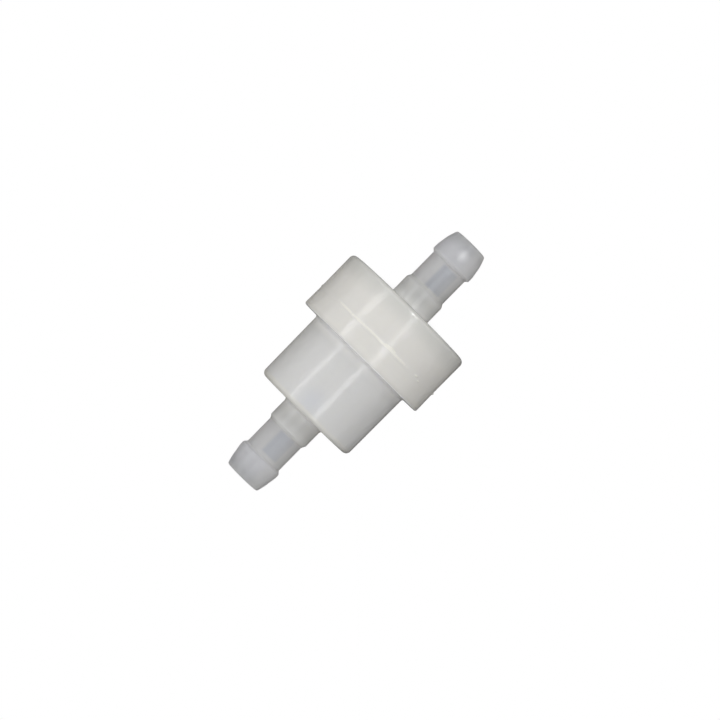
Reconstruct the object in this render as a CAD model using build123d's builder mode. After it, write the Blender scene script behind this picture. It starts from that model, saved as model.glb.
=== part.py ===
from build123d import *
from dataclasses import dataclass
import os

# Inline fuel filter for small engines: a welded plastic housing around a mesh strainer.
#
# Frame: the filter lies level, as its two hoses hold it. +X is the way the fuel flows, from the
# inlet nipple to the outlet nipple, +Z is up, and the origin is on the axis, half way between the
# nipple tips.
# Lengths are in millimetres. Every turned section is drawn in the XZ plane as (x, radius).

# Housing: lengths along the axis add up to the whole filter
inlet_nipple_length = 13.5
cup_length = 12.2
flange_length = 3.8
cap_length = 6.85
outlet_nipple_length = 13.65
filter_length = inlet_nipple_length + cup_length + flange_length + cap_length + outlet_nipple_length

# Housing: radii, walls and draft
cup_radius_at_end = 9.07
cup_radius_at_flange = 9.16
collar_radius = 11.9
seam_radius = 11.84
cup_wall = 1.4
cap_wall = 1.9
collar_bore_radius = 10.0
nipple_bore_radius = 2.0

# Housing: rounded corners
cup_end_rounding = 0.85
flange_edge_rounding = 0.35
flange_foot_rounding = 0.4
cap_edge_rounding = 0.8
root_rounding = 0.55
inside_rounding = 0.8
small_rounding = 0.15

# Hot-plate weld between the flange and the cap
weld_thickness = 0.5
weld_flash_outside = 0.05
weld_flash_inside = 0.15

# Guide ribs inside the cup, and the skirt inside the cap that clamps the strainer's rim
guide_rib_count = 4
guide_rib_width = 0.9
guide_rib_length = 5.0
clamp_skirt_inner_radius = 7.9
clamp_skirt_outer_radius = 9.1

# Strainer
seal_thickness = 0.8
seal_inner_radius = 7.9
seal_outer_radius = 9.7
rim_thickness = 1.2
rim_radius = 9.8
cage_outer_radius = 5.5
cage_wall = 0.9
rib_count = 6
rib_width = 1.1
window_rows = 3
hoop_width = 0.8
mesh_thickness = 0.2
clamp_ring_wall = 1.0
clamp_ring_length = 1.4
end_cap_thickness = 0.9
end_cap_skirt_wall = 0.55
end_cap_skirt_length = 1.6
inlet_gap = 1.2

# Stations along the axis
inlet_tip_x = -filter_length / 2
cup_end_x = inlet_tip_x + inlet_nipple_length
flange_x = cup_end_x + cup_length
weld_x = flange_x + flange_length
cap_end_x = weld_x + cap_length
outlet_tip_x = filter_length / 2
cup_floor_x = cup_end_x + cup_wall
cap_ceiling_x = cap_end_x - cap_wall
ledge_x = flange_x + cup_wall
rim_x = ledge_x + seal_thickness
rim_top_x = rim_x + rim_thickness
end_cap_x = cup_floor_x + inlet_gap
cage_end_x = end_cap_x + end_cap_thickness
mesh_radius = cage_outer_radius + mesh_thickness
cage_inner_radius = cage_outer_radius - cage_wall
cup_bore_radius = cup_radius_at_end - cup_wall


@dataclass
class Nipple:
    """A barbed hose nipple. Distances run from the filter's middle outwards, along its own side."""

    side: int
    face: float
    tip: float
    root_end: float
    neck_start: float
    neck_end: float
    crest_start: float
    crest_end: float
    taper_middle: float
    taper_radius: float
    tip_radius: float
    tip_rounding: float
    root_radius: float = 3.66
    neck_radius: float = 3.31
    crest_radius: float = 3.75
    taper_rounding: float = 5.0

    def corners(self):
        """The outside, from the housing's face to the bore's mouth, as (x, radius, rounding) rows."""
        rows = [
            (self.face, self.root_radius, root_rounding),
            (self.root_end, self.root_radius, 2 * small_rounding),
            (self.neck_start, self.neck_radius, 2 * small_rounding),
            (self.neck_end, self.neck_radius, small_rounding),
            (self.crest_start, self.crest_radius, small_rounding),
            (self.crest_end, self.crest_radius, 2 * small_rounding),
            (self.taper_middle, self.taper_radius, self.taper_rounding),
            (self.tip, self.tip_radius, self.tip_rounding),
            (self.tip, nipple_bore_radius, small_rounding),
        ]
        return [(self.side * distance, radius, rounding) for distance, radius, rounding in rows]


inlet_nipple = Nipple(
    side=-1,
    face=-cup_end_x,
    tip=-inlet_tip_x,
    root_end=14.9,
    neck_start=15.5,
    neck_end=20.4,
    crest_start=20.9,
    crest_end=21.6,
    taper_middle=23.6,
    taper_radius=3.44,
    tip_radius=3.08,
    tip_rounding=0.35,
)
outlet_nipple = Nipple(
    side=1,
    face=cap_end_x,
    tip=outlet_tip_x,
    root_end=14.75,
    neck_start=15.35,
    neck_end=20.2,
    crest_start=20.6,
    crest_end=21.5,
    taper_middle=23.4,
    taper_radius=3.44,
    tip_radius=2.9,
    tip_rounding=0.4,
)


def section(corners):
    """Draws the closed outline through (x, radius, rounding) rows in the open BuildLine."""
    points = [(x, radius) for x, radius, _ in corners]
    FilletPolyline(*points, radius=[rounding for _, _, rounding in corners], close=True)


def ring_section(low_x, high_x, inner_radius, outer_radius, rounding):
    """Draws the section of a plain ring with rounded edges in the open BuildLine."""
    section(
        [
            (low_x, inner_radius, rounding),
            (low_x, outer_radius, rounding),
            (high_x, outer_radius, rounding),
            (high_x, inner_radius, rounding),
        ]
    )


def finish(piece, name):
    """Labels a finished piece and writes it as a STEP file of that name."""
    piece.part.label = name
    export_step(piece.part, f"parts/{name}.step")


os.makedirs("parts", exist_ok=True)

# Inlet housing: the barbed inlet nipple, the cup around the strainer, and the welding flange
inlet_housing_corners = [
    *reversed(inlet_nipple.corners()),
    (cup_end_x, cup_radius_at_end, cup_end_rounding),
    (flange_x, cup_radius_at_flange, flange_foot_rounding),
    (flange_x, collar_radius, flange_edge_rounding),
    (weld_x - weld_thickness / 2, seam_radius, small_rounding),
    (weld_x - weld_thickness / 2, collar_bore_radius, small_rounding),
    (ledge_x, collar_bore_radius, small_rounding),
    (ledge_x, cup_bore_radius, small_rounding),
    (cup_floor_x, cup_bore_radius, inside_rounding),
    (cup_floor_x, nipple_bore_radius, 2 * small_rounding),
]
with BuildPart() as inlet_housing:
    with BuildSketch(Plane.XZ) as inlet_housing_section:
        with BuildLine():
            section(inlet_housing_corners)
        make_face()
    revolve(axis=Axis.X)
    # Guide ribs on the cup's wall keep the strainer's end centred and the fuel way round it open
    guide_inner_radius = mesh_radius + end_cap_skirt_wall + small_rounding
    with BuildSketch(Plane.YZ.offset(cup_floor_x)) as guide_ribs:
        with PolarLocations(0, guide_rib_count // 2, angular_range=180):
            Rectangle(2 * (cup_bore_radius + small_rounding), guide_rib_width)
        Circle(guide_inner_radius, mode=Mode.SUBTRACT)
    extrude(amount=guide_rib_length)
finish(inlet_housing, "inlet_housing")

# Outlet cap: the skirt that closes the collar, the clamp skirt inside it, and the outlet nipple
outlet_cap_corners = [
    (weld_x + weld_thickness / 2, collar_bore_radius, small_rounding),
    (weld_x + weld_thickness / 2, seam_radius, small_rounding),
    (cap_end_x, collar_radius - weld_flash_outside / 2, cap_edge_rounding),
    *outlet_nipple.corners(),
    (cap_ceiling_x, nipple_bore_radius, 2 * small_rounding),
    (cap_ceiling_x, clamp_skirt_inner_radius, inside_rounding),
    (rim_top_x, clamp_skirt_inner_radius, small_rounding),
    (rim_top_x, clamp_skirt_outer_radius, small_rounding),
    (cap_ceiling_x, clamp_skirt_outer_radius, 2 * small_rounding),
    (cap_ceiling_x, collar_bore_radius, 2 * small_rounding),
]
with BuildPart() as outlet_cap:
    with BuildSketch(Plane.XZ) as outlet_cap_section:
        with BuildLine():
            section(outlet_cap_corners)
        make_face()
    revolve(axis=Axis.X)
finish(outlet_cap, "outlet_cap")

# Weld bead: the ring of remelted plastic that joins the two halves, with a little flash each side
with BuildPart() as weld_bead:
    with BuildSketch(Plane.XZ) as weld_bead_section:
        with BuildLine():
            ring_section(
                weld_x - weld_thickness / 2,
                weld_x + weld_thickness / 2,
                collar_bore_radius - weld_flash_inside,
                seam_radius + weld_flash_outside,
                small_rounding,
            )
        make_face()
    revolve(axis=Axis.X)
finish(weld_bead, "weld_bead")

# Rim seal: the flat rubber washer between the housing's ledge and the strainer's rim
with BuildPart() as rim_seal:
    with BuildSketch(Plane.XZ) as rim_seal_section:
        with BuildLine():
            ring_section(ledge_x, rim_x, seal_inner_radius, seal_outer_radius, small_rounding)
        make_face()
    revolve(axis=Axis.X)
finish(rim_seal, "rim_seal")

# Strainer cage: a rim that is clamped in the collar, and a ribbed tube that holds the mesh out
cage_corners = [
    (cage_end_x, cage_inner_radius, small_rounding),
    (cage_end_x, cage_outer_radius, 0),
    (rim_x, cage_outer_radius, 0),
    (rim_x, rim_radius, small_rounding),
    (rim_top_x, rim_radius, small_rounding),
    (rim_top_x, cage_inner_radius, 2 * small_rounding),
]
windows_start_x = cage_end_x + end_cap_skirt_length
window_pitch = (rim_x - clamp_ring_length - windows_start_x + hoop_width) / window_rows
with BuildPart() as strainer_cage:
    with BuildSketch(Plane.XZ) as cage_section:
        with BuildLine():
            section(cage_corners)
        make_face()
    revolve(axis=Axis.X)
    window_planes = [Plane.YZ.offset(windows_start_x + row * window_pitch) for row in range(window_rows)]
    with BuildSketch(*window_planes) as windows_between_ribs:
        Circle(cage_outer_radius + cage_wall)
        Circle(cage_inner_radius - cage_wall, mode=Mode.SUBTRACT)
        with PolarLocations(0, rib_count // 2, angular_range=180):
            Rectangle(3 * cage_outer_radius, rib_width, mode=Mode.SUBTRACT)
    extrude(amount=window_pitch - hoop_width, mode=Mode.SUBTRACT)
finish(strainer_cage, "strainer_cage")

# Strainer mesh: the sleeve of woven cloth round the cage, through which all the fuel passes
with BuildPart() as strainer_mesh:
    with BuildSketch(Plane.YZ.offset(cage_end_x)) as mesh_section:
        Circle(mesh_radius)
        Circle(cage_outer_radius, mode=Mode.SUBTRACT)
    extrude(amount=rim_x - cage_end_x)
finish(strainer_mesh, "strainer_mesh")

# Mesh clamp ring: pressed over the mesh under the rim, it holds the sleeve's outlet end
with BuildPart() as mesh_clamp_ring:
    with BuildSketch(Plane.XZ) as clamp_ring_section:
        with BuildLine():
            ring_section(
                rim_x - clamp_ring_length,
                rim_x,
                mesh_radius,
                mesh_radius + clamp_ring_wall,
                small_rounding,
            )
        make_face()
    revolve(axis=Axis.X)
finish(mesh_clamp_ring, "mesh_clamp_ring")

# Strainer end cap: closes the cage towards the inlet and holds the sleeve's inlet end
with BuildPart() as strainer_end_cap:
    with BuildSketch(Plane.YZ.offset(end_cap_x)) as end_cap_disc:
        Circle(mesh_radius + end_cap_skirt_wall)
    extrude(amount=end_cap_thickness)
    with BuildSketch(Plane.YZ.offset(cage_end_x)) as end_cap_skirt:
        Circle(mesh_radius + end_cap_skirt_wall)
        Circle(mesh_radius, mode=Mode.SUBTRACT)
    extrude(amount=end_cap_skirt_length)
    outer_rims = strainer_end_cap.edges().filter_by(GeomType.CIRCLE).sort_by(Axis.X)
    fillet(outer_rims[0], radius=2 * small_rounding)
finish(strainer_end_cap, "strainer_end_cap")
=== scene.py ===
import math

import bpy
import numpy as np
from mathutils import Matrix, Vector, noise


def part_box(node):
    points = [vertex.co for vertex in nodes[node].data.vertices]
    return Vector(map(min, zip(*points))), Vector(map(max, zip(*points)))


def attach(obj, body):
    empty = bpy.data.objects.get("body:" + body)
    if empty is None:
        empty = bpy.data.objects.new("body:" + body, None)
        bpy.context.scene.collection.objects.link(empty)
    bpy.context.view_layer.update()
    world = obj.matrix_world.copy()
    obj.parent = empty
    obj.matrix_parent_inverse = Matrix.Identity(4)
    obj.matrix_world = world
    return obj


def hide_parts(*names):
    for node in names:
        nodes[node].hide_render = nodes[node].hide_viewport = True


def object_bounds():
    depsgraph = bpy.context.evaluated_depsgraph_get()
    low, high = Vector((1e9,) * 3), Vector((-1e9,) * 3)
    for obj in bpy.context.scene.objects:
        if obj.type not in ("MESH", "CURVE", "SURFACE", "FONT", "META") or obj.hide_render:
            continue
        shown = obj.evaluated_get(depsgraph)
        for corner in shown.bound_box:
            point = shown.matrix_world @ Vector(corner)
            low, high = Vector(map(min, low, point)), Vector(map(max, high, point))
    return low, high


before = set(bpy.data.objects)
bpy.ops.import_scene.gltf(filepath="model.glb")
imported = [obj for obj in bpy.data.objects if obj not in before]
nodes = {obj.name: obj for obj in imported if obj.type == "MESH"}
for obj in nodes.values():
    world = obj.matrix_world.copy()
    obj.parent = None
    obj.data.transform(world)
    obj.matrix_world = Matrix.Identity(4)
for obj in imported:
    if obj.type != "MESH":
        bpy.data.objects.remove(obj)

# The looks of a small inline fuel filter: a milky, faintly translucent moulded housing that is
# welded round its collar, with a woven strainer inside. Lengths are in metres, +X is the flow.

MM = 0.001
WHITE = (1.0, 1.0, 1.0, 1.0)
cad_low, cad_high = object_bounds()


def radii(node):
    """The smallest and largest distance of a CAD node's surface from the flow axis."""
    points = np.array([v.co for v in nodes[node].data.vertices])
    distances = np.hypot(points[:, 1], points[:, 2])
    return float(distances.min()), float(distances.max())


# Stations along the axis, from the frame
INLET_TIP = cad_low.x
OUTLET_TIP = cad_high.x
SEAM = (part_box("weld_bead")[0].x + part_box("weld_bead")[1].x) / 2
CUP_END = INLET_TIP + 13.5 * MM
FLANGE = SEAM - 3.8 * MM             # where the collar starts on the inlet half
CAP_END = SEAM + 6.85 * MM
NIPPLE_LENGTH = 13.55 * MM           # from the tip to the housing's face
NECK_START = 4.75 * MM               # from the tip to the barb's shoulder
NECK_END = 9.5 * MM                  # from the tip to the step of the root


# ---------------------------------------------------------------- camera
FLOW_ANGLE = math.radians(45.47)     # the flow axis climbs to the upper right of the frame
CAMERA_DISTANCE = 441.4 * MM
CAMERA_LENS = 144.0                  # on a 36 mm sensor
CAMERA_TILT = math.radians(0.45)     # the inlet end is a little nearer the camera
LOOK_AT = Vector((0.42, -0.29, 0.0)) * MM


def axes_matrix(right, up, back):
    return Matrix((right, up, back)).transposed().to_4x4()


def make_camera():
    """Looks straight down on the filter, which lies across the frame's diagonal."""
    data = bpy.data.cameras.new("camera")
    data.lens = CAMERA_LENS
    data.clip_start = 0.01
    data.clip_end = 20.0
    camera = bpy.data.objects.new("camera", data)
    bpy.context.scene.collection.objects.link(camera)
    back = Vector((-math.sin(CAMERA_TILT), 0.0, math.cos(CAMERA_TILT)))
    flow = Vector((math.cos(CAMERA_TILT), 0.0, math.sin(CAMERA_TILT)))
    across = back.cross(flow)
    right = math.cos(FLOW_ANGLE) * flow - math.sin(FLOW_ANGLE) * across
    up = math.sin(FLOW_ANGLE) * flow + math.cos(FLOW_ANGLE) * across
    place = Matrix.Translation(LOOK_AT + back * CAMERA_DISTANCE)
    camera.matrix_world = place @ axes_matrix(right, up, back)
    bpy.context.scene.camera = camera


# ---------------------------------------------------------------- shader node helpers
def add(tree, kind, inputs=None, **settings):
    """A new node: settings are its properties, and inputs its sockets' values or what feeds them."""
    node = tree.nodes.new(kind)
    for name, value in settings.items():
        setattr(node, name, value)
    for socket, value in (inputs or {}).items():
        if isinstance(value, bpy.types.NodeSocket):
            tree.links.new(value, node.inputs[socket])
        else:
            node.inputs[socket].default_value = value
    return node


def maths(tree, operation, *values):
    """What a math node makes of the values, each a number or a socket."""
    return add(tree, "ShaderNodeMath", dict(enumerate(values)), operation=operation).outputs[0]


def ramp(tree, value, low, high, start=0.0, end=1.0):
    """start where value is low, end where it is high, and smooth between."""
    ends = {"Value": value, "From Min": low, "From Max": high, "To Min": start, "To Max": end}
    return add(tree, "ShaderNodeMapRange", ends, interpolation_type="SMOOTHSTEP").outputs[0]


def mixed(tree, share, first, second):
    """The colour first where share is 0, and second where it is 1."""
    node = add(tree, "ShaderNodeMix", data_type="RGBA")
    for index, value in ((0, share), (6, first), (7, second)):
        if isinstance(value, bpy.types.NodeSocket):
            tree.links.new(value, node.inputs[index])
        else:
            node.inputs[index].default_value = value
    return node.outputs[2]


def noise_of(tree, place, size, detail=1.0, roughness=0.5):
    """Soft noise about 0.5, whose patches are about size across."""
    inputs = {"Vector": place, "Scale": 1.0 / size, "Detail": detail, "Roughness": roughness}
    return add(tree, "ShaderNodeTexNoise", inputs).outputs["Fac"]


def near(tree, place, centre, reach):
    """1 at a point, given in millimetres, falling smoothly to 0 at that reach round it."""
    inputs = {0: place, 1: tuple(c * MM for c in centre)}
    away = add(tree, "ShaderNodeVectorMath", inputs, operation="DISTANCE").outputs["Value"]
    return ramp(tree, away, reach * MM, 0.0)


def new_material(name):
    material = bpy.data.materials.new(name)
    material.use_nodes = True
    material.node_tree.nodes.clear()
    return material, material.node_tree


def bumped(tree, height, depth, onto=None):
    """The normal of a surface that rises by depth where height goes from 0 to 1."""
    inputs = {"Height": height, "Strength": 1.0, "Distance": depth}
    if onto is not None:
        inputs["Normal"] = onto
    return add(tree, "ShaderNodeBump", inputs).outputs[0]


# ---------------------------------------------------------------- light and floor
DOME_HORIZON = 0.63                  # the studio's soft light from the horizon, and how it rises overhead
DOME_RISE = -0.375
HORIZON_TINT = (1.0, 0.98, 0.95, 1.0)
DOME_LEAN = 0.05                     # a little more of it comes from +Y
FLOOR_SIZE = 12.0
FLOOR_LIGHT = (0.40, 0.39, 0.37, 1.0)    # the paper as it lights the filter, and its side towards -Y
FLOOR_SHADE = (0.20, 0.19, 0.175, 1.0)
FLOOR_GREY = (0.12, 0.112, 0.095, 1.0)   # the paper as the glossy plastic mirrors it, and the same side
FLOOR_DIM = (0.03, 0.028, 0.025, 1.0)
FLOOR_ASIDE = (-3 * MM, -12 * MM)    # in Y, where that side begins and where it is full
CONTACT_REACH = 3 * MM               # how near the filter the paper's glow is painted darker as a contact shadow, and its glow at the least
CONTACT_GLOW = 0.6
LIGHT_DISTANCE = 0.6
STRIP_LENGTH = 1.2
STRIP_WIDTH = 0.075
LAMP_WIDTH = 0.08


def make_world():
    """A soft pale dome. The camera sees it as plain white."""
    world = bpy.data.worlds.new("studio")
    world.use_nodes = True
    bpy.context.scene.world = world
    tree = world.node_tree
    tree.nodes.clear()
    way = add(tree, "ShaderNodeSeparateXYZ", {0: add(tree, "ShaderNodeTexCoord").outputs["Generated"]})
    level = maths(tree, "MULTIPLY_ADD", way.outputs["Z"], DOME_RISE, DOME_HORIZON)
    level = maths(tree, "MULTIPLY_ADD", way.outputs["Y"], DOME_LEAN, level)
    height = maths(tree, "ABSOLUTE", way.outputs["Z"])
    tint = mixed(tree, ramp(tree, height, 0.0, 0.6), HORIZON_TINT, WHITE)
    soft = add(tree, "ShaderNodeBackground", {"Color": tint, "Strength": level})
    white = add(tree, "ShaderNodeBackground", {"Color": WHITE, "Strength": 1.0})
    seen = add(tree, "ShaderNodeLightPath").outputs["Is Camera Ray"]
    both = add(tree, "ShaderNodeMixShader", {0: seen, 1: soft.outputs[0], 2: white.outputs[0]})
    add(tree, "ShaderNodeOutputWorld", {"Surface": both.outputs[0]})


def make_floor():
    """A plain white sweep under the filter, with a soft painted contact shadow close to what rests on it."""
    half = FLOOR_SIZE / 2
    z = cad_low.z
    corners = [(-half, -half, z), (half, -half, z), (half, half, z), (-half, half, z)]
    mesh = bpy.data.meshes.new("floor")
    mesh.from_pydata(corners, [], [(0, 1, 2, 3)])
    floor = bpy.data.objects.new("floor", mesh)
    bpy.context.scene.collection.objects.link(floor)
    material, tree = new_material("floor_paper")
    # painted shadow: the paper's white glow is darker where the filter is close above it
    openness = add(tree, "ShaderNodeAmbientOcclusion", {"Distance": CONTACT_REACH}, samples=16)
    glow = ramp(tree, openness.outputs["AO"], 0.0, 0.9, CONTACT_GLOW, 1.0)
    white = add(tree, "ShaderNodeEmission", {"Color": WHITE, "Strength": glow})
    path = add(tree, "ShaderNodeLightPath").outputs
    seen = path["Is Camera Ray"]
    place = add(tree, "ShaderNodeTexCoord").outputs["Object"]
    across = add(tree, "ShaderNodeSeparateXYZ", {0: place}).outputs["Y"]
    aside = ramp(tree, across, *FLOOR_ASIDE)
    lit = mixed(tree, aside, FLOOR_LIGHT, FLOOR_SHADE)
    mirrored = mixed(tree, aside, FLOOR_GREY, FLOOR_DIM)
    grey = add(tree, "ShaderNodeBsdfDiffuse", {"Color": mixed(tree, path["Is Glossy Ray"], lit, mirrored)})
    both = add(tree, "ShaderNodeMixShader", {0: seen, 1: grey.outputs[0], 2: white.outputs[0]})
    add(tree, "ShaderNodeOutputMaterial", {"Surface": both.outputs[0]})
    mesh.materials.append(material)


def add_softbox(name, shape, length, width, toward_x, toward_y, brightness):
    """A softbox over the filter, leaning that many degrees from overhead, with its length along X."""
    back = Vector((math.tan(math.radians(toward_x)), math.tan(math.radians(toward_y)), 1.0)).normalized()
    right = (Vector((1, 0, 0)) - back.x * back).normalized()
    data = bpy.data.lights.new(name, "AREA")
    data.shape = shape
    data.size = length
    data.size_y = width
    data.energy = 4 * length * width * brightness
    light = bpy.data.objects.new(name, data)
    bpy.context.scene.collection.objects.link(light)
    facing = axes_matrix(right, back.cross(right), back)
    light.matrix_world = Matrix.Translation(back * LIGHT_DISTANCE) @ facing


def make_lights():
    """Two long strips that draw the highlights along the filter, and a lamp for the outlet's barb."""
    add_softbox("strip_left", "RECTANGLE", STRIP_LENGTH, STRIP_WIDTH, 0, 41.6, 3.2)
    add_softbox("strip_right", "RECTANGLE", STRIP_LENGTH, STRIP_WIDTH, 0, -18.0, 3.4)
    add_softbox("lamp", "ELLIPSE", LAMP_WIDTH, LAMP_WIDTH, 26, -12.5, 16.0)


# ---------------------------------------------------------------- materials
BODY_WHITE = (0.76, 0.76, 0.755, 1.0)
BODY_CORNER_PAINTED_LIGHT = (0.995, 0.99, 0.975, 1.0)  # painted light: paler in the inside corner by the flange, for the light that milky plastic carries into the shade there
BODY_COOL_PAINTED_SHADE = (0.73, 0.74, 0.762, 1.0)     # painted shade: cooler and darker where the strainer's end lies close behind the wall
COOL_SHADE_SPOT = ((-9.1, 0.5, 9.0), 3.2)      # its centre and reach in millimetres
# a warmer cream tone on the cup's end fillet, with painted sheen where the fillet catches light
CUP_CREAM_SHEEN = (0.77, 0.765, 0.735, 1.0)
CAP_WHITE = (0.84, 0.828, 0.796, 1.0)
CAP_EDGE = (0.78, 0.77, 0.74, 1.0)
# painted shade: the cap is darker towards its end
CAP_RIM_SHADE = (0.735, 0.735, 0.71, 1.0)
INLET_ROOT_AND_CORNER_LIGHT = ((0.79, 0.795, 0.80, 1.0), (0.995, 0.99, 0.975, 1.0))    # at the neck, and at the housing, where the paler colour is painted light in the inside corner
OUTLET_ROOT_AND_CORNER_LIGHT = ((0.72, 0.725, 0.73, 1.0), (0.88, 0.88, 0.87, 1.0))
NECK_WHITE = (0.64, 0.64, 0.67, 1.0)
# painted shade: darker, bluer windows in the necks, where the dark bore shows through the thin wall
CORE_SHADE_BLUE = (0.515, 0.535, 0.60, 1.0)
CORE_TURN = math.radians(12.5)           # round the axis from the top towards -Y
SHOULDER_WHITE = (0.66, 0.665, 0.69, 1.0)
BARB_WHITE = (0.565, 0.57, 0.61, 1.0)
TIP_WHITE = (0.445, 0.455, 0.48, 1.0)
BLOOM_PAINTED_HIGHLIGHT = (0.76, 0.77, 0.83, 1.0)    # painted highlight: a pale soft spot on the outlet's barb, for light that spreads inside it
PAINTED_HIGHLIGHT_SPOT = ((22.65, -0.4, 3.5), 1.3)
NIPPLE_SIDE_PAINTED_LIGHT = (0.82, 0.81, 0.79, 1.0)    # painted light: the nipples are a little paler towards -Y, lifting the shade on that side
# painted light: the roots are paler towards -Y as well
ROOT_SIDE_PAINTED_LIGHT = (0.96, 0.95, 0.93, 1.0)
FLASH_CREAM = (0.935, 0.92, 0.855, 1.0)

# Where each colour begins to blend in, where it is full, and the colour
HOUSING_BANDS = (                        # along X, from the inlet to the outlet
    # painted sheen: warmer cream on the cup's end fillet
    (CUP_END + 1.1 * MM, CUP_END + 0.7 * MM, CUP_CREAM_SHEEN),
    # painted light: the body pales into the inside corner by the flange
    (FLANGE - 1.9 * MM, FLANGE - 0.1 * MM, BODY_CORNER_PAINTED_LIGHT),
    (FLANGE + 0.08 * MM, FLANGE + 0.28 * MM, CAP_EDGE),
    (FLANGE + 0.28 * MM, FLANGE + 0.8 * MM, CAP_WHITE),
    # painted shade: darker before the cap's end
    (CAP_END - 3.8 * MM, CAP_END - 0.4 * MM, CAP_RIM_SHADE),
)
NIPPLE_BANDS = (                         # from the tip, outwards from the neck
    (NECK_START + 0.6 * MM, NECK_START, SHOULDER_WHITE),
    (NECK_START - 0.2 * MM, NECK_START - 0.6 * MM, BARB_WHITE),
    (2.6 * MM, 0.4 * MM, TIP_WHITE),
)
# From the tip: where a part of the nipple blends in, from its foot by the housing or from its top
NIPPLE_FOOT = (NIPPLE_LENGTH + 0.1 * MM, NIPPLE_LENGTH - 0.3 * MM)
ROOT_FOOT = (NIPPLE_LENGTH - 2.4 * MM, NIPPLE_LENGTH)
NECK_FOOT = (NECK_END + 0.3 * MM, NECK_END - 0.3 * MM)
NECK_TOP = (NECK_START - 0.3 * MM, NECK_START + 0.3 * MM)
CORE_FOOT = (NECK_END + 0.2 * MM, NECK_END - 0.3 * MM)
CORE_TOP = (NECK_START + 0.1 * MM, NECK_START + 0.7 * MM)
CORE_LOBES = 3.0                         # painted shade: darker, bluer windows round the neck, where the dark bore shows through
ROOT_ASIDE = (-0.4 * MM, -3.4 * MM, 0.0, 0.75)      # in Y, from where to where, and the shares there
NIPPLE_ASIDE = (-0.4 * MM, -3.0 * MM, 0.0, 0.35)

PLASTIC_IOR = 1.53
HOUSING_GLOSS = 0.20                     # roughness
ROOT_GLOSS = 0.235
NECK_DULLING = 0.125                     # how much duller the nipples are beyond the root
GLOSS_SPREAD = 0.035                     # either way, from grain to grain
HOUSING_DEPTH = 0.5 * MM                 # how far light spreads inside the plastic
NIPPLE_DEPTH = 8.0 * MM
ROOT_SHARE = 0.3                         # of that depth, at the housing's face
SEAM_SHARE = 0.1                         # and at the seam
SEAM_REACH = (0.2 * MM, 1.6 * MM)        # from the seam: where that ends, and where the depth is whole
FLOW_MARKS = (2.6 * MM, 0.08 * MM)       # how far across each kind of unevenness is, and how high
RIPPLES = (1.3 * MM, 0.035 * MM)
GRAIN = (0.3 * MM, 0.0015 * MM)


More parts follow.
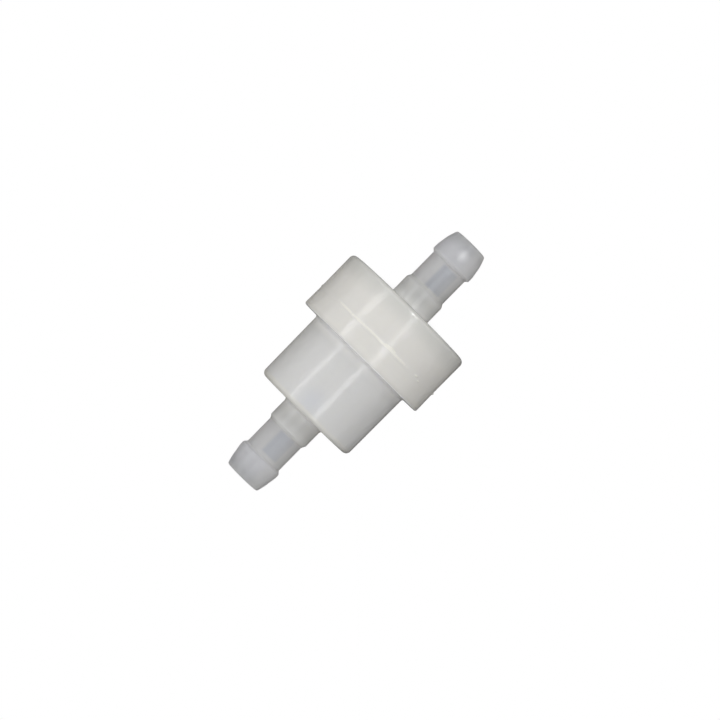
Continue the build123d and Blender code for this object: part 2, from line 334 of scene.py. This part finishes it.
def milky_plastic(name, housing_colour, root_and_corner_light):
    """Natural moulded plastic: milky and waxy, and bluer and more see-through where the wall is thin. Its
    colour also holds painted light and shade: paler inside corners and -Y sides, a pale spot on the outlet's
    barb, sheen on the cup's end fillet, darker windows in the necks, a darker patch by the strainer's end and
    a darker band before the cap's end.
    """
    material, tree = new_material(name)
    place = add(tree, "ShaderNodeTexCoord").outputs["Object"]
    parts = add(tree, "ShaderNodeSeparateXYZ", {0: place}).outputs
    along = parts["X"]
    from_tip = maths(tree, "MINIMUM", maths(tree, "SUBTRACT", along, INLET_TIP),
                     maths(tree, "SUBTRACT", OUTLET_TIP, along))
    turn = maths(tree, "ARCTAN2", maths(tree, "MULTIPLY", parts["Y"], -1.0), parts["Z"])

    # The cup, with its flange, or the cap
    colour = housing_colour
    # painted shade: a cooler, darker patch where the strainer's end lies behind the wall
    colour = mixed(tree, near(tree, place, *COOL_SHADE_SPOT), colour, BODY_COOL_PAINTED_SHADE)
    # the bands hold painted sheen on the cup's end fillet, painted light in the inside corner by the flange,
    # and painted shade before the cap's end
    for start, full, shade in HOUSING_BANDS:
        colour = mixed(tree, ramp(tree, along, start, full), colour, shade)

    # The nipples, from the housing outwards
    on_nipple = ramp(tree, from_tip, *NIPPLE_FOOT)
    at_face = ramp(tree, from_tip, *ROOT_FOOT)
    # painted light: the root pales into the inside corner at the housing's face
    root = mixed(tree, at_face, *root_and_corner_light)
    # painted light: the root is paler towards -Y
    root = mixed(tree, ramp(tree, parts["Y"], *ROOT_ASIDE), root, ROOT_SIDE_PAINTED_LIGHT)
    colour = mixed(tree, on_nipple, colour, root)
    on_neck = maths(tree, "MULTIPLY", ramp(tree, from_tip, *NECK_TOP), ramp(tree, from_tip, *NECK_FOOT))
    colour = mixed(tree, on_neck, colour, NECK_WHITE)
    # painted shade: darker, bluer windows in the neck
    core_turn = maths(tree, "SUBTRACT", turn, CORE_TURN)
    lobes = maths(tree, "COSINE", maths(tree, "MULTIPLY", core_turn, CORE_LOBES))
    on_core = maths(tree, "MULTIPLY", ramp(tree, from_tip, *CORE_TOP), ramp(tree, from_tip, *CORE_FOOT))
    colour = mixed(tree, maths(tree, "MULTIPLY", on_core, ramp(tree, lobes, -0.1, 0.5)), colour, CORE_SHADE_BLUE)
    for start, full, shade in NIPPLE_BANDS:
        colour = mixed(tree, ramp(tree, from_tip, start, full), colour, shade)
    # painted highlight: a pale soft spot on the outlet's barb
    colour = mixed(tree, near(tree, place, *PAINTED_HIGHLIGHT_SPOT), colour, BLOOM_PAINTED_HIGHLIGHT)
    # painted light: the nipples are paler towards -Y
    beside = ramp(tree, parts["Y"], *NIPPLE_ASIDE)
    colour = mixed(tree, maths(tree, "MULTIPLY", on_nipple, beside), colour, NIPPLE_SIDE_PAINTED_LIGHT)

    # The surface, and how far light goes into it
    flow_marks = noise_of(tree, place, FLOW_MARKS[0])
    ripples = noise_of(tree, place, RIPPLES[0])
    grain = noise_of(tree, place, GRAIN[0], 3.0)
    gloss = ramp(tree, from_tip, NECK_END, NIPPLE_LENGTH, ROOT_GLOSS, HOUSING_GLOSS)
    beyond_root = maths(tree, "LESS_THAN", from_tip, NECK_END)
    gloss = maths(tree, "MULTIPLY_ADD", beyond_root, NECK_DULLING, gloss)
    dull = maths(tree, "ADD", gloss, ramp(tree, grain, 0.3, 0.7, -GLOSS_SPREAD, GLOSS_SPREAD))
    surface = bumped(tree, flow_marks, FLOW_MARKS[1])
    surface = bumped(tree, ripples, RIPPLES[1], surface)
    surface = bumped(tree, grain, GRAIN[1], surface)
    from_seam = maths(tree, "ABSOLUTE", maths(tree, "SUBTRACT", along, SEAM))
    depth = maths(tree, "MULTIPLY", ramp(tree, on_nipple, 0.0, 1.0, HOUSING_DEPTH, NIPPLE_DEPTH),
                  ramp(tree, from_seam, *SEAM_REACH, SEAM_SHARE, 1.0))
    at_root = maths(tree, "MULTIPLY", at_face, on_nipple)
    depth = maths(tree, "MULTIPLY", depth, ramp(tree, at_root, 0.0, 1.0, 1.0, ROOT_SHARE))
    shader = add(tree, "ShaderNodeBsdfPrincipled", {
        "Base Color": colour,
        "Roughness": dull,
        "IOR": PLASTIC_IOR,
        "Subsurface Weight": 1.0,
        "Subsurface Radius": (0.95, 0.95, 1.0),
        "Subsurface Scale": depth,
        "Normal": surface,
    })
    add(tree, "ShaderNodeOutputMaterial", {"Surface": shader.outputs[0]})
    return material


def flash_plastic(proud_from, proud_to):
    """Remelted plastic: like the cap where it lies flush, and cream where it stands proud."""
    material, tree = new_material("weld_plastic")
    place = add(tree, "ShaderNodeTexCoord").outputs["Object"]
    parts = add(tree, "ShaderNodeSeparateXYZ", {0: place}).outputs
    squares = maths(tree, "ADD", maths(tree, "MULTIPLY", parts["Y"], parts["Y"]),
                    maths(tree, "MULTIPLY", parts["Z"], parts["Z"]))
    radius = maths(tree, "SQRT", squares)
    colour = mixed(tree, ramp(tree, radius, proud_from, proud_to), CAP_WHITE, FLASH_CREAM)
    grain = noise_of(tree, place, 0.15 * MM, 2.0)
    surface = bumped(tree, grain, 0.004 * MM)
    shader = add(tree, "ShaderNodeBsdfPrincipled", {
        "Base Color": colour,
        "Roughness": ramp(tree, grain, 0.3, 0.7, 0.21, 0.26),
        "IOR": PLASTIC_IOR,
        "Normal": surface,
    })
    add(tree, "ShaderNodeOutputMaterial", {"Surface": shader.outputs[0]})
    return material


def plain_plastic(name, colour, roughness):
    """An opaque moulding with a fine grain."""
    material, tree = new_material(name)
    place = add(tree, "ShaderNodeTexCoord").outputs["Object"]
    grain = noise_of(tree, place, 0.2 * MM, 3.0)
    darker = tuple(0.94 * c for c in colour[:3]) + (1.0,)
    shader = add(tree, "ShaderNodeBsdfPrincipled", {
        "Base Color": mixed(tree, ramp(tree, grain, 0.3, 0.7), colour, darker),
        "Roughness": ramp(tree, grain, 0.3, 0.7, roughness - 0.05, roughness + 0.05),
        "IOR": 1.5,
        "Normal": bumped(tree, grain, 0.002 * MM),
    })
    add(tree, "ShaderNodeOutputMaterial", {"Surface": shader.outputs[0]})
    return material


def dress(node, material):
    """Puts the material on a CAD node."""
    for slot in nodes[node].material_slots:
        slot.material = material


# ---------------------------------------------------------------- weld flash
FLASH_STEPS = 1080                   # round the ring
FLASH_REACH = 0.5 * MM               # how far the flush part lies over each half of the collar
FLASH_COLUMNS = 33                   # across the outside
FLASH_RIDGE = 0.08 * MM              # its usual height
FLASH_LUMPS = (                      # degrees, millimetres along X, half widths of both, height
    (9.5, 0.30, 5.0, 0.26, 0.10), (12.5, 0.50, 3.6, 0.24, 0.09), (15.0, 0.32, 2.4, 0.2, 0.07),
    (42.5, 0.05, 2.4, 0.22, 0.10), (47.5, -0.30, 2.2, 0.2, 0.07), (86.0, 0.0, 2.2, 0.3, 0.16),
    (-158.0, -0.25, 4.0, 0.25, 0.09),
)


def bump_of(x, centre, half_width):
    """1 at the centre, falling smoothly to 0 at half_width either side."""
    away = min(abs(x - centre) / half_width, 1.0)
    return (1.0 - away * away) ** 2


def between(x, low, high, soft):
    """1 from low to high, and smoothly down to 0 at either end, over a width of soft."""
    rise = min(max((x - low) / soft, 0.0), 1.0)
    fall = min(max((high - x) / soft, 0.0), 1.0)
    return rise * rise * (3 - 2 * rise) * fall * fall * (3 - 2 * fall)


def uneven(turn, waves, channel):
    """Smooth noise from -1 to 1 that closes round the ring, about waves patches long."""
    spot = Vector((math.cos(turn) * waves, math.sin(turn) * waves, 7.3 * channel))
    return noise.noise(spot)


def flash_height(degrees, offset):
    """How proud the flash stands, that many degrees from the top and that far along X from the seam."""
    turn = math.radians(degrees)
    wander = 0.06 * MM * uneven(turn, 5.0, 1)
    half_width = (0.31 + 0.05 * uneven(turn, 14.0, 2)) * MM
    ragged = 0.75 + 0.4 * uneven(turn, 40.0, 3) + 0.25 * uneven(turn, 9.0, 4)
    runs = (between(degrees, -50, 38, 18) + 0.8 * between(degrees, 118, 171, 6)
            + 0.9 * between(degrees, -141, -84, 7) + 0.22)
    ridge = FLASH_RIDGE * runs * ragged * bump_of(offset, wander, half_width)
    lumps = sum(
        height * MM * bump_of(degrees, centre, width) * bump_of(offset, shift * MM, reach * MM)
        for centre, shift, width, reach, height in FLASH_LUMPS
    )
    return ridge + lumps


def make_weld_flash():
    """The ring of remelted plastic between the two halves, squeezed out into an uneven ridge."""
    low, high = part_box("weld_bead")
    inner, outer = radii("weld_bead")
    flush = outer - 0.045 * MM
    buried = flush - 0.05 * MM
    deep = flush - 0.3 * MM
    lead = 0.05 * MM
    web = [(low.x, deep), (low.x, inner + lead), (low.x + lead, inner), (high.x - lead, inner),
           (high.x, inner + lead), (high.x, deep)]
    columns = [(2 * i / (FLASH_COLUMNS - 1) - 1) * FLASH_REACH for i in range(FLASH_COLUMNS)]
    points = []
    for step in range(FLASH_STEPS):
        degrees = 360.0 * step / FLASH_STEPS - 180.0
        turn = math.radians(degrees)
        outline = [(SEAM + FLASH_REACH, buried)]
        for offset in reversed(columns):
            sink = 0.03 * MM * between(abs(offset), 0.42 * MM, 2 * FLASH_REACH, 0.08 * MM)
            outline.append((SEAM + offset, flush - sink + flash_height(degrees, offset)))
        outline.append((SEAM - FLASH_REACH, buried))
        outline += web
        points += [(x, -r * math.sin(turn), r * math.cos(turn)) for x, r in outline]
    count = len(points) // FLASH_STEPS
    faces = []
    for step in range(FLASH_STEPS):
        here = step * count
        there = (step + 1) % FLASH_STEPS * count
        for i in range(count):
            j = (i + 1) % count
            faces.append((here + i, here + j, there + j, there + i))
    mesh = bpy.data.meshes.new("weld_flash")
    mesh.from_pydata(points, [], faces)
    mesh.polygons.foreach_set("use_smooth", [True] * len(faces))
    piece = bpy.data.objects.new("weld_flash", mesh)
    bpy.context.scene.collection.objects.link(piece)
    mesh.materials.append(flash_plastic(flush + 0.01 * MM, flush + 0.06 * MM))
    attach(piece, "root")
    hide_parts("weld_bead")


# ---------------------------------------------------------------- woven sleeve
WARP_COUNT = 72                      # wires along the sleeve
WEFT_COUNT = 22                      # wires round it
WIRE_SIDES = 5
STEPS_PER_CROSSING = 4
CLOTH_WHITE = (0.80, 0.81, 0.80, 1.0)
CLOTH_PALE = (0.86, 0.86, 0.83, 1.0)


def woven_cloth():
    """Fine monofilament cloth, a little uneven in colour from wire to wire."""
    material, tree = new_material("mesh_cloth")
    place = add(tree, "ShaderNodeTexCoord").outputs["Object"]
    patches = noise_of(tree, place, 0.8 * MM, 2.0)
    grain = noise_of(tree, place, 0.06 * MM)
    shader = add(tree, "ShaderNodeBsdfPrincipled", {
        "Base Color": mixed(tree, ramp(tree, patches, 0.3, 0.7), CLOTH_WHITE, CLOTH_PALE),
        "Roughness": ramp(tree, grain, 0.3, 0.7, 0.28, 0.42),
        "IOR": 1.55,
        "Normal": bumped(tree, grain, 0.001 * MM),
    })
    add(tree, "ShaderNodeOutputMaterial", {"Surface": shader.outputs[0]})
    return material


def add_wire(points, faces, path, radius, closed):
    """A tube round a path of (place, first way across, second way across)."""
    first = len(points)
    for place, one, other in path:
        for side in range(WIRE_SIDES):
            angle = 2 * math.pi * side / WIRE_SIDES
            points.append(place + radius * (math.cos(angle) * one + math.sin(angle) * other))
    count = len(path)
    for step in range(count if closed else count - 1):
        here = first + step * WIRE_SIDES
        there = first + (step + 1) % count * WIRE_SIDES
        for side in range(WIRE_SIDES):
            after = (side + 1) % WIRE_SIDES
            faces.append((there + side, there + after, here + after, here + side))
    if not closed:
        last = first + (count - 1) * WIRE_SIDES
        faces.append(tuple(first + side for side in range(WIRE_SIDES)))
        faces.append(tuple(last + side for side in reversed(range(WIRE_SIDES))))


def make_woven_sleeve():
    """The strainer's cloth: wires along the sleeve that cross over and under wires round it."""
    low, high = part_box("strainer_mesh")
    inner, outer = radii("strainer_mesh")
    radius = (outer - inner) / 4
    middle = (outer + inner) / 2
    pitch = (high.x - low.x) / WEFT_COUNT
    along = Vector((1.0, 0.0, 0.0))
    points, faces = [], []
    for warp in range(WARP_COUNT):
        turn = 2 * math.pi * warp / WARP_COUNT
        out = Vector((0.0, -math.sin(turn), math.cos(turn)))
        path = []
        for step in range(WEFT_COUNT * STEPS_PER_CROSSING + 1):
            x = low.x + pitch * step / STEPS_PER_CROSSING
            wave = math.cos(math.pi * (step / STEPS_PER_CROSSING - 0.5) + math.pi * warp)
            path.append((along * x + out * (middle + radius * wave), along.cross(out), out))
        add_wire(points, faces, path, radius, closed=False)
    for weft in range(WEFT_COUNT):
        path = []
        for step in range(WARP_COUNT * STEPS_PER_CROSSING):
            turn = 2 * math.pi * step / (WARP_COUNT * STEPS_PER_CROSSING)
            out = Vector((0.0, -math.sin(turn), math.cos(turn)))
            wave = -math.cos(math.pi * step / STEPS_PER_CROSSING + math.pi * weft)
            path.append((along * (low.x + pitch * (weft + 0.5)) + out * (middle + radius * wave), out, along))
        add_wire(points, faces, path, radius, closed=True)
    mesh = bpy.data.meshes.new("woven_sleeve")
    mesh.from_pydata(points, [], faces)
    mesh.polygons.foreach_set("use_smooth", [True] * len(faces))
    piece = bpy.data.objects.new("woven_sleeve", mesh)
    bpy.context.scene.collection.objects.link(piece)
    mesh.materials.append(woven_cloth())
    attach(piece, "root")
    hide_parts("strainer_mesh")


# ---------------------------------------------------------------- the scene
make_camera()
make_world()
make_floor()
make_lights()

dress("outlet_cap", milky_plastic("cap_plastic", CAP_WHITE, OUTLET_ROOT_AND_CORNER_LIGHT))
dress("inlet_housing", milky_plastic("body_plastic", BODY_WHITE, INLET_ROOT_AND_CORNER_LIGHT))
inner_plastic = plain_plastic("cage_plastic", (0.74, 0.74, 0.71, 1.0), 0.4)
for inside in ("strainer_cage", "strainer_end_cap", "mesh_clamp_ring"):
    dress(inside, inner_plastic)
dress("rim_seal", plain_plastic("seal_rubber", (0.42, 0.40, 0.37, 1.0), 0.6))
make_weld_flash()
make_woven_sleeve()

bpy.context.scene.view_settings.view_transform = "Standard"
